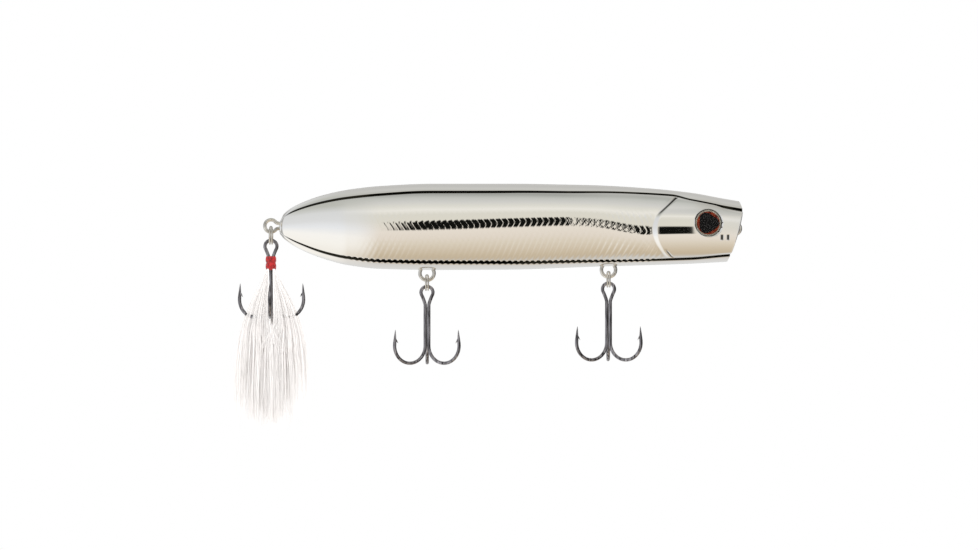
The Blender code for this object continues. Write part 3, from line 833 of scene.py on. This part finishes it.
def make_hangers(frame, look):
    for name, (joint, outward, loop) in HANGERS.items():
        outward = np.array(outward, float)
        sideways = np.array([abs(outward[2]), 0, abs(outward[0])])
        centre = loop_centre(frame, joint, loop)
        outline = hanger_outline(loop)
        path = [centre + sideways * across - outward * depth for across, depth in outline]
        obj = tubes(f"{name}_wire", [(rounded(path), WIRE_RADIUS)], look, sides=20)
        show(obj, "lure_body", "nickel_wire", name)


def make_split_ring(frame, prefix, look):
    """Two flat coils joined by a short step, with a gap between them for the other loops."""
    radius, drop = RINGS[prefix]
    turn = np.linspace(*RING_TURNS, 170)
    x = (between(turn, *RING_STEP_RUN) - 0.5) * RING_PITCH
    angle = TAU * (turn + 0.25)
    z = radius - drop + radius * np.sin(angle)
    path = np.stack([x, radius * np.cos(angle), z], 1) + joint_place(frame, f"{prefix}_ring_swing")
    obj = tubes(f"{prefix}_ring_coil", [(path, RING_WIRE)], look, 16, RING_SQUARENESS)
    show(obj, f"{prefix}_ring", "nickel_wire", f"{prefix}_split_ring")


def half_eye(side):
    """One side of the eye, from its top down to the shank, in the XZ plane."""
    middle = EYE_TOP - HOOK_WIRE - EYE_RADIUS
    points = []
    for angle in np.linspace(0, EYE_ARC, 26):
        points.append((side * EYE_RADIUS * math.sin(angle), 0, middle + EYE_RADIUS * math.cos(angle)))
    neck_x, _, neck_z = points[-1]
    for t in np.linspace(NECK_START, 1.0, 12):
        left = (1 - t) ** NECK_CURVE
        x = neck_x * left + side * SHANK_SPREAD * (1 - left)
        points.append((x, 0, neck_z + (SHANK_TOP - neck_z) * t))
    return points


def half_bend(foot, outward):
    """Shank, bend and needle point of one hook, and the wire's radius along them."""
    centre = EYE_TOP - HOOK_LENGTH + HOOK_WIRE + BEND_RADIUS
    foot, outward = np.array(foot, float), np.array(outward, float)
    down = [(0.0, z) for z in np.linspace(SHANK_TOP - SHANK_GAP, centre + 0.5, 12)]
    bend, rise = [], []
    for angle in np.linspace(0, math.pi, 44):
        bend.append((BEND_RADIUS * (1 - math.cos(angle)), centre - BEND_RADIUS * math.sin(angle)))
    for z in np.linspace(centre + 0.3, POINT_Z, 26):
        t = (z - centre) / (POINT_Z - centre)
        rise.append((2 * BEND_RADIUS - POINT_LEAN * t, z))
    path = np.array([(*(foot + outward * reach), z) for reach, z in down + bend + rise])
    needle = np.clip((POINT_Z - path[:, 2]) / NEEDLE_LENGTH, 0, 1)
    needle[: len(down) + len(bend)] = 1.0
    return path, HOOK_WIRE * (0.05 + 0.95 * needle**0.75)


def barb(foot, outward):
    """A small cut spur on the inside of the point, aimed back down the hook."""
    foot, outward = np.array(foot, float), np.array(outward, float)
    reach = 2 * BEND_RADIUS - POINT_LEAN * BARB_LEAN
    path = [(*(foot + outward * (reach + inward)), BARB_Z + rise) for inward, rise in BARB_PROFILE]
    return rounded(path), np.interp(np.linspace(0, 1, 14), *zip(*BARB_RADII))


def make_treble(frame, prefix, look):
    """The double hook bent from one wire, and the single hook brazed to it."""
    hinge = joint_place(frame, f"{prefix}_treble_swing")
    third = THIRD_SIDES[prefix]
    sixth = math.radians(30)
    arms, barbs = [], []
    for side in (1, -1):
        foot = (side * SHANK_SPREAD, 0)
        outward = (side * math.cos(sixth), -third * math.sin(sixth))
        bend, radii = half_bend(foot, outward)
        eye = np.array(half_eye(side))
        arms.append((np.concatenate([eye, bend]), np.concatenate([np.full(len(eye), HOOK_WIRE), radii])))
        path, thickness = barb(foot, outward)
        barbs.append((path + hinge, thickness[: len(path)]))
    (first, first_radii), (second, second_radii) = arms
    path = np.concatenate([first[::-1], second[1:]]) + hinge
    radii = np.concatenate([first_radii[::-1], second_radii[1:]])
    double = tubes(f"{prefix}_double_hook_wire", [(path, radii), *barbs], look, sides=18)
    show(double, f"{prefix}_treble", "black_nickel", f"{prefix}_double_hook")

    foot = (0, third * SHANK_SPREAD * math.sqrt(3))
    bend, radii = half_bend(foot, (0, third))
    spur, thickness = barb(foot, (0, third))
    runs = [(bend + hinge, radii), (spur + hinge, thickness[: len(spur)])]
    single = tubes(f"{prefix}_single_hook_wire", runs, look, sides=18)
    show(single, f"{prefix}_treble", "black_nickel", f"{prefix}_single_hook")


# Tail dressing --------------------

WRAP_TOP = -3.35
WRAP_BOTTOM = -7.0
WRAP_RADIUS = 1.28
WRAP_WAIST = 0.24
THREAD_RADIUS = 0.115
THREAD_SINK = 0.6  # where the thread's middle lies off the core, over its radius
THREAD_TURNS = 19
THREAD_STEPS = 36
CORE_OVERHANG = 0.03
# length, fibres, inner and outer reach to one side, which side, how the fibres crowd the inner
# reach, and whether the feather lies behind the side hooks
HACKLES = (
    (41.5, 460, 2.0, 11.2, -1, 1.0, True),
    (43.0, 190, 0.45, 10.4, -1, 3.2, False),
    (41.0, 190, 0.45, 9.4, 1, 3.2, False),
    (37.0, 420, 2.0, 10.2, 1, 1.0, True),
    (43.0, 420, -1.5, 6.0, 1, 1.0, True),
    (43.5, 420, -1.5, 6.5, -1, 1.0, True),
)
FIRST_SEED = 900
FIBRE_TOP = WRAP_BOTTOM + 0.25
FIBRE_POINTS = 16
FIBRE_SIDES = 3
FIBRE_RADIUS = 0.055
FIBRE_LOSS = 0.36  # the most that a fibre is shorter than its feather
FIBRE_LOSS_CURVE = 2.2
STRAY_SHARE = 0.05
STRAY_LENGTHS = (1.0, 1.04)
USUAL_LENGTH = 0.985
SWAY = (0.1, 0.35)
SWAY_X_TURNS = 5.5
SWAY_Y_TURNS = 4.5
FLARE_LENGTH = 12.5
FLARE_CURVE = 1.3
ROOT_SPREAD = (0.55, 0.5)  # how far off the middle a fibre starts, and how much its reach adds
# how far fibres lie behind or in front of the middle: at the root, then what thickness adds
# there, what sideways reach adds (rear only) and what thickness adds once flared
REAR_SPREAD = (0.7, 0.3, 0.45, 2.6)
FRONT_SPREAD = (0.95, 0.3, 1.9)
CLOSING_CURVE = 1.5
CLOSING = (0.6, 4.0)  # how far front fibres fall back to the middle below the hooks
CLOSING_RUN = (14, 24)
FLATTENING = 0.95  # how far the rear and front fibres meet below the hooks
FLATTENING_RUN = (15, 30)
FAN_LEAN = 0.5  # the whole fan hangs this far towards the nose


def wrap_radius(t):
    """The wrap's radius from its top, 0, to its bottom, 1: two lobes with a waist between."""
    return WRAP_RADIUS - WRAP_WAIST * (1 - np.abs(np.sin(TAU * t)) ** 0.6)


def tail_middle(frame):
    """The middle of the tail treble's three shanks, at the height of its hinge."""
    hinge = joint_place(frame, "tail_treble_swing")
    return hinge + np.array([0, THIRD_SIDES["tail"] * SHANK_SPREAD / math.sqrt(3), 0])


def make_thread_wrap(frame, look):
    middle = tail_middle(frame)
    t = np.linspace(0, 1, THREAD_TURNS * THREAD_STEPS)
    angle = TAU * THREAD_TURNS * t
    radius = wrap_radius(t) + THREAD_RADIUS * THREAD_SINK
    z = WRAP_TOP + (WRAP_BOTTOM - WRAP_TOP) * t
    thread = np.stack([radius * np.cos(angle), radius * np.sin(angle), z], 1)
    core_t = np.linspace(0, 1, 30)
    core = np.zeros((30, 3))
    core[:, 2] = WRAP_TOP - CORE_OVERHANG + (WRAP_BOTTOM - WRAP_TOP + 2 * CORE_OVERHANG) * core_t
    runs = [(thread + middle, THREAD_RADIUS), (core + middle, wrap_radius(core_t))]
    obj = tubes("thread_windings", runs, look, sides=24)
    show(obj, "tail_treble", "red_thread", "thread_wrap")


def make_hackle(number, row, middle, look):
    """One feather: soft fibres that leave the thread together, fan out and end at many lengths."""
    length, count, inner, outer, way, crowd, behind = row
    draw = np.random.default_rng(FIRST_SEED + number)
    t = np.linspace(0, 1, FIBRE_POINTS)
    lengths = length * (1 - FIBRE_LOSS * draw.random(count) ** FIBRE_LOSS_CURVE)
    strays = draw.random(count) < STRAY_SHARE
    lengths *= np.where(strays, draw.uniform(*STRAY_LENGTHS, count), USUAL_LENGTH)
    share = draw.random(count) ** crowd
    thick = draw.random(count)
    wave = draw.uniform(0, TAU, (2, count))
    sway = draw.uniform(*SWAY, (2, count))
    closing = draw.random(count) ** CLOSING_CURVE
    runs, tints = [], []
    for k in range(count):
        depth = lengths[k] * t
        flare = 1 - bell(depth, FLARE_LENGTH, FLARE_CURVE)
        reach = inner + (outer - inner) * share[k]
        start = ROOT_SPREAD[0] + ROOT_SPREAD[1] * share[k]
        sideways = start + (reach - start) * flare
        if behind:
            root, root_more, per_reach, more = REAR_SPREAD
            back = root + root_more * thick[k] + (per_reach * abs(reach) + more * thick[k]) * flare
        else:
            root, root_more, more = FRONT_SPREAD
            back = -root - root_more * thick[k] - more * thick[k] * flare
            fall = (CLOSING[0] + CLOSING[1] * closing[k]) * (1 - share[k])
            sideways = sideways - fall * between(depth, *CLOSING_RUN)
        back = back * (1 - FLATTENING * closing[k] * between(depth, *FLATTENING_RUN))
        x = way * sideways + FAN_LEAN * flare
        x = x + sway[0, k] * t * np.sin(wave[0, k] + SWAY_X_TURNS * t)
        y = back + sway[1, k] * t * np.sin(wave[1, k] + SWAY_Y_TURNS * t)
        path = np.stack([x, y, FIBRE_TOP - depth], axis=-1)
        runs.append((path + middle, FIBRE_RADIUS * (0.6 + 1.2 * t - 1.55 * t**3)))
        tints.append(draw.random())
    obj = tubes(f"hackle_{number}_fibres", runs, look, FIBRE_SIDES)
    values = np.repeat(np.array(tints), FIBRE_POINTS * FIBRE_SIDES)
    tint = obj.data.attributes.new("tint", "FLOAT", "POINT")
    tint.data.foreach_set("value", values)
    show(obj, "tail_treble", "white_hackle", f"hackle_{number}")


def make_hackles(frame, look):
    middle = tail_middle(frame)
    for number, row in enumerate(HACKLES, 1):
        make_hackle(number, row, middle, look)


# Eyes --------------------

# Heights here are from the eye's place, outwards. A profile is (radius, height) points. Where
# it reaches the axis it stops just short, and a small flat cap closes it.
LENS_RADIUS = 3.72
LENS_BACK = -0.72
LENS_RIM = -0.46
LENS_RISE = 0.66
DOME = [
    (LENS_RADIUS * math.sin(angle), LENS_RIM + LENS_RISE * math.cos(angle))
    for angle in np.linspace(0.004, math.pi / 2, 16)
]
EYE_EDGE = [(3.5, -0.88), (3.62, -0.8), (3.78, -0.82), (3.82, -0.95), (3.82, -1.3), (3.5, -1.3)]
EYE_PROFILES = {
    "disc": ([(0.01, -0.95), (3.6, -0.95), (3.6, -1.4), (0.01, -1.4)], "eye_ring"),
    "edge": (EYE_EDGE, "eye_edge"),
    "iris": ([(0.01, -0.9), (3.1, -0.9), (3.14, -0.96), (0.01, -0.96)], "eye_iris"),
    "lens": ([*DOME, (LENS_RADIUS, LENS_BACK), (0.015, LENS_BACK)], "clear_lens"),
}
PUPIL_RADIUS = 2.66
PUPIL_CORNERS = 0.125  # how far its three corners stand out, over its radius
PUPIL_HEIGHTS = (-0.93, -0.84)
PUPIL_STEPS = 72


def eye_matrix(side):
    (x, y, z), outward = eye_axes()
    outward = Vector((outward[0], side * outward[1], outward[2]))
    turn = outward.to_track_quat("Z", "Y").to_matrix().to_4x4()
    return Matrix.Translation(Vector((x, side * y, z)) * MM) @ turn


def turned(name, profile, look, ring=False, steps=64):
    """A solid turned about Z from (radius, height) points; a ring's profile closes on itself."""
    points, faces = [], []
    rows = len(profile)
    for k in range(steps):
        angle = TAU * k / steps
        points += [(r * math.cos(angle), r * math.sin(angle), z) for r, z in profile]
    for k in range(steps):
        a, b = k * rows, (k + 1) % steps * rows
        spans = [(i, (i + 1) % rows) for i in range(rows if ring else rows - 1)]
        faces += [[a + i, a + j, b + j, b + i] for i, j in spans]
    if not ring:
        faces.append([k * rows for k in range(steps)])
        faces.append([k * rows + rows - 1 for k in reversed(range(steps))])
    obj = solid(name, points, faces, look)
    obj.data.set_sharp_from_angle(angle=EYE_SHARP)
    return obj


def make_eyes(looks):
    """A printed disc, its iris and pupil, and a clear domed lens over them."""
    stands = {"disc": ("eye_print", "eye_disc"), "lens": ("clear_lens", "eye_lens")}
    for side, label in ((1, "left"), (-1, "right")):
        pieces = {
            part: turned(f"eye_{label}_{part}", rows, looks[look], ring=part == "edge")
            for part, (rows, look) in EYE_PROFILES.items()
        }
        pieces["pupil"] = make_pupil(f"eye_{label}_pupil", side, looks["eye_pupil"])
        for part, obj in pieces.items():
            obj.matrix_world = eye_matrix(side)
            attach(obj, "lure_body")
            slot, node = stands.get(part, ("eye_print", None))
            if node:
                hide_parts(f"{node}_{label}")


def make_pupil(name, side, look):
    """A flat plate with three soft corners, one of them pointing at the lure's nose."""
    count = PUPIL_STEPS
    nose = Vector((1, 0, 0)) @ eye_matrix(side).to_3x3()
    forward = math.atan2(nose[1], nose[0])
    outline = []
    for k in range(count):
        angle = TAU * k / count
        radius = PUPIL_RADIUS * (1 + PUPIL_CORNERS * math.cos(3 * (angle - forward)))
        outline.append((radius * math.cos(angle), radius * math.sin(angle)))
    points = [(x, y, height) for height in PUPIL_HEIGHTS for x, y in outline]
    faces = [[k, (k + 1) % count, count + (k + 1) % count, count + k] for k in range(count)]
    faces += [list(range(count))[::-1], list(range(count, 2 * count))]
    obj = solid(name, points, faces, look)
    obj.data.set_sharp_from_angle(angle=EYE_SHARP)
    return obj


# Studio --------------------

VIEW_CENTRE = (-66.6, 0.0, -12.6)
VIEW_WIDTH = 265.1
CAMERA_DISTANCE = 1700.0
SENSOR_WIDTH = 36.0
FLOOR_X, FLOOR_Y, FLOOR_Z = (-420, 290), (-330, 330), -118


def make_camera():
    camera = bpy.data.cameras.new("camera")
    camera.sensor_width = SENSOR_WIDTH
    camera.lens = SENSOR_WIDTH * CAMERA_DISTANCE / VIEW_WIDTH
    camera.clip_start, camera.clip_end = 0.05, 20.0
    obj = bpy.data.objects.new("camera", camera)
    obj.location = Vector((VIEW_CENTRE[0], -CAMERA_DISTANCE, VIEW_CENTRE[2])) * MM
    obj.rotation_euler = (math.pi / 2, 0, 0)
    bpy.context.scene.collection.objects.link(obj)
    bpy.context.scene.camera = obj


def make_light(name, place, size, watts):
    """A soft square light aimed at the middle of the lure, which the chrome doesn't mirror."""
    lamp = bpy.data.lights.new(name, "AREA")
    lamp.shape = "SQUARE"
    lamp.size = size * MM
    lamp.energy = watts
    obj = bpy.data.objects.new(name, lamp)
    obj.location = Vector(place) * MM
    aim = Vector(VIEW_CENTRE) * MM - obj.location
    obj.rotation_mode = "QUATERNION"
    obj.rotation_quaternion = aim.to_track_quat("-Z", "Y")
    obj.visible_glossy = False
    obj.visible_camera = False
    bpy.context.scene.collection.objects.link(obj)


def make_floor():
    """A plain pale floor below the camera's frame, which the chrome doesn't mirror."""
    (left, right), (near, far) = FLOOR_X, FLOOR_Y
    points = [(x, y, FLOOR_Z) for x, y in ((left, near), (right, near), (right, far), (left, far))]
    look = Look("floor", (0.86, 0.86, 0.85), 0.7)
    look.rough(look.noise(40), 0.62, 0.78)
    floor = solid("studio_floor", points, [[0, 1, 2, 3]], look.material, smooth=False)
    floor.visible_glossy = False


# what the chrome mirrors at each elevation in degrees, in 8-bit screen colours
SKY_RAMPS = (
    (  # ahead of the side
        (-90, (188, 172, 148)), (-70, (197, 182, 157)), (-57, (204, 190, 168)), (-40, (214, 203, 184)),
        (-25, (222, 212, 198)), (-12, (226, 217, 204)), (13, (216, 212, 199)), (27, (215, 212, 200)),
        (38, (231, 228, 219)), (48, (218, 216, 206)), (60, (205, 204, 199)), (75, (189, 190, 184)),
        (88, (156, 158, 152)),
    ),
    (  # behind it
        (-90, (196, 193, 186)), (-55, (210, 208, 204)), (-15, (216, 216, 214)), (10, (200, 198, 194)),
        (40, (188, 187, 183)), (65, (197, 196, 191)), (90, (160, 161, 155)),
    ),
    (  # towards the tail
        (-80, (236, 231, 221)), (-45, (245, 242, 235)), (-25, (245, 243, 238)), (-6, (228, 230, 232)),
        (12, (216, 217, 217)), (38, (212, 213, 212)), (60, (184, 185, 177)), (88, (172, 173, 166)),
    ),
    (  # towards the nose
        (-80, (206, 190, 166)), (-45, (220, 208, 189)), (-22, (222, 215, 205)), (-5, (216, 214, 210)),
        (10, (206, 204, 200)), (35, (214, 214, 212)), (60, (184, 181, 171)), (88, (164, 161, 153)),
    ),
)
SLIT_MIDDLE = math.radians(1.6)  # the dark slit that draws the stripe along the side
SLIT_HALF = math.radians(9.6)
SLIT_SOFTNESS = 0.03
SLIT_TAIL_RUN = (-0.105, -0.07)
SLIT_NOSE_RUN = (0.158, 0.146)
SLIT_GAP = 0.060  # a lighter stretch of the slit
SLIT_GAP_RUN = (0.010, 0.022)
SLIT_COLOUR = (24, 24, 22)
FRONT_TO_BACK_RUN = (-0.2, 0.2)
TAIL_RUN = (-0.06, -0.38)
NOSE_RUN = (0.16, 0.30)
# a dark panel ahead of the nose, and a grey one level with the far side
NOSE_PANEL_RUN = (0.80, 0.90)
NOSE_PANEL_COLOUR = (52, 50, 49)
FAR_PANEL_X_RUN, FAR_PANEL_Y_RUN, FAR_PANEL_Z_RUN = (0.3, 0.42), (0.22, 0.36), (0.62, 0.5)
FAR_PANEL_COLOUR = (168, 167, 164)
ROOT_GUARD = 1.0001  # just over 1, so that the root below never reaches 0
DIFFUSE_SKY = 0.98
CHROME_GREY = 0.93


def screen(red, green, blue):
    """A screen colour as scene light, brightened by what the chrome takes away."""
    return tuple((level / 255) ** 2.2 / CHROME_GREY for level in (red, green, blue))


class Sky(Nodes):
    """The studio seen by the chrome: grey above, a dark slit at the horizon, beige below."""

    def __init__(self):
        world = bpy.data.worlds.new("studio")
        bpy.context.scene.world = world
        world.use_nodes = True
        self.tree = world.node_tree
        self.tree.nodes.clear()
        self.build()

    def math(self, operation, *sources):
        made = self.node("ShaderNodeMath", operation=operation)
        for source, target in zip(sources, made.inputs):
            self.link(source, target)
        return made.outputs[0]

    def size(self, value):
        return self.math("ABSOLUTE", value)

    def step(self, value, low, high):
        """A smooth step from 0 at low to 1 at high, which may be the lesser of the two."""
        made = self.node("ShaderNodeMapRange", interpolation_type="SMOOTHSTEP")
        made.inputs["From Min"].default_value = low
        made.inputs["From Max"].default_value = high
        self.link(value, made.inputs["Value"])
        return made.outputs["Result"]

    def panels(self, x, y, z, across, height):
        """The studio without its slit."""
        front, back, tailward, noseward = (
            self.ramp(height, *[((degrees + 90) / 180, screen(*colour)) for degrees, colour in stops])
            for stops in SKY_RAMPS
        )
        colour = self.mix(self.step(y, *FRONT_TO_BACK_RUN), front, back)
        colour = self.mix(self.step(across, *TAIL_RUN), colour, tailward)
        colour = self.mix(self.step(across, *NOSE_RUN), colour, noseward)
        colour = self.mix(self.step(x, *NOSE_PANEL_RUN), colour, screen(*NOSE_PANEL_COLOUR))
        far_x = self.step(self.size(x), *FAR_PANEL_X_RUN)
        far = self.math("MULTIPLY", self.step(y, *FAR_PANEL_Y_RUN), far_x)
        far = self.math("MULTIPLY", far, self.step(self.size(z), *FAR_PANEL_Z_RUN))
        return self.mix(far, colour, screen(*FAR_PANEL_COLOUR))

    def slit(self, elevation, across):
        """Where the dark slit lies, with its lighter stretch left out."""
        off_slit = self.size(self.math("SUBTRACT", elevation, SLIT_MIDDLE))
        level = self.step(off_slit, SLIT_HALF + SLIT_SOFTNESS, SLIT_HALF - SLIT_SOFTNESS)
        ends = (self.step(across, *SLIT_TAIL_RUN), self.step(across, *SLIT_NOSE_RUN))
        slit = self.math("MULTIPLY", level, self.math("MULTIPLY", *ends))
        off_gap = self.size(self.math("SUBTRACT", across, SLIT_GAP))
        return self.math("MULTIPLY", slit, self.step(off_gap, *SLIT_GAP_RUN))

    def build(self):
        """Chrome sees the panels and the slit, everything else a plain white sky."""
        split = self.node("ShaderNodeSeparateXYZ")
        self.link(self.node("ShaderNodeTexCoord").outputs["Generated"], split.inputs["Vector"])
        x, y, z = split.outputs
        elevation = self.math("ARCSINE", z)
        height = self.math("ADD", self.math("DIVIDE", elevation, math.pi), 0.5)
        level = self.math("SQRT", self.math("SUBTRACT", ROOT_GUARD, self.math("MULTIPLY", x, x)))
        across = self.math("DIVIDE", x, level)
        colour = self.panels(x, y, z, across, height)
        colour = self.mix(self.slit(elevation, across), colour, screen(*SLIT_COLOUR))
        rays = self.node("ShaderNodeLightPath")
        plain = self.mix(rays.outputs["Is Camera Ray"], (DIFFUSE_SKY,) * 3, (1.0, 1.0, 1.0))
        colour = self.mix(rays.outputs["Is Glossy Ray"], plain, colour)
        shader = self.node("ShaderNodeBackground")
        self.link(colour, shader.inputs["Color"])
        output = self.node("ShaderNodeOutputWorld")
        self.link(shader.outputs["Background"], output.inputs["Surface"])


def make_studio():
    Sky()
    make_camera()
    make_floor()
    make_light("key_light", (-250, -600, 700), 700, 3.2)
    make_light("fill_light", (300, -700, 200), 500, 1.4)
    bpy.context.scene.view_settings.view_transform = "Standard"


def dress_inside(frame, look):
    """The weight and the rattle balls keep their CAD shapes."""
    for name in ("tail_weight", "rattle_ball_1", "rattle_ball_2", "rattle_ball_3"):
        for slot in frame["nodes"][name].material_slots:
            slot.material = look


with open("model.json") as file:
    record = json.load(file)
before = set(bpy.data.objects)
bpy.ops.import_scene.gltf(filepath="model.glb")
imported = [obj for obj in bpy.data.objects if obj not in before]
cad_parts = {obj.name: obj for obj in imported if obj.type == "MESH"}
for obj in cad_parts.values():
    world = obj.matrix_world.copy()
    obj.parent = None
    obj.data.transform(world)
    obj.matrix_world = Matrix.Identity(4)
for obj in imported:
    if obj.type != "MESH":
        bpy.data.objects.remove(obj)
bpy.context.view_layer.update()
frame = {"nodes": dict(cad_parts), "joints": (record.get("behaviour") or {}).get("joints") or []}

chrome = chrome_film()
# The second value is the painted shade for the grooves, the nostrils and the ledge faces.
skin, painted_shade = side_skin()
for half, node in ((1, "body_shell_left"), (-1, "body_shell_right")):
    show(body_half(half, skin, painted_shade, chrome), "lure_body", "chrome_film", node)

nickel, black = nickel_wire(), black_nickel()
make_hangers(frame, nickel)
for which in ("front", "rear", "tail"):
    make_split_ring(frame, which, nickel)
    make_treble(frame, which, black)
make_thread_wrap(frame, red_thread())
make_hackles(frame, white_hackle())
make_eyes(
    {
        "eye_ring": printed("eye_ring", (0.24, 0.22, 0.17), (0.40, 0.37, 0.30), 0.3),
        "eye_edge": printed("eye_edge", (0.05, 0.05, 0.045), (0.10, 0.095, 0.085), 0.3),
        "eye_iris": printed("eye_iris", (0.09, 0.006, 0.002), (0.26, 0.038, 0.009)),
        "eye_pupil": printed("eye_pupil", (0.004, 0.0035, 0.0035), (0.006, 0.005, 0.005), 0.5),
        "clear_lens": clear_lens(),
    }
)
dress_inside(frame, plain_steel())
make_studio()
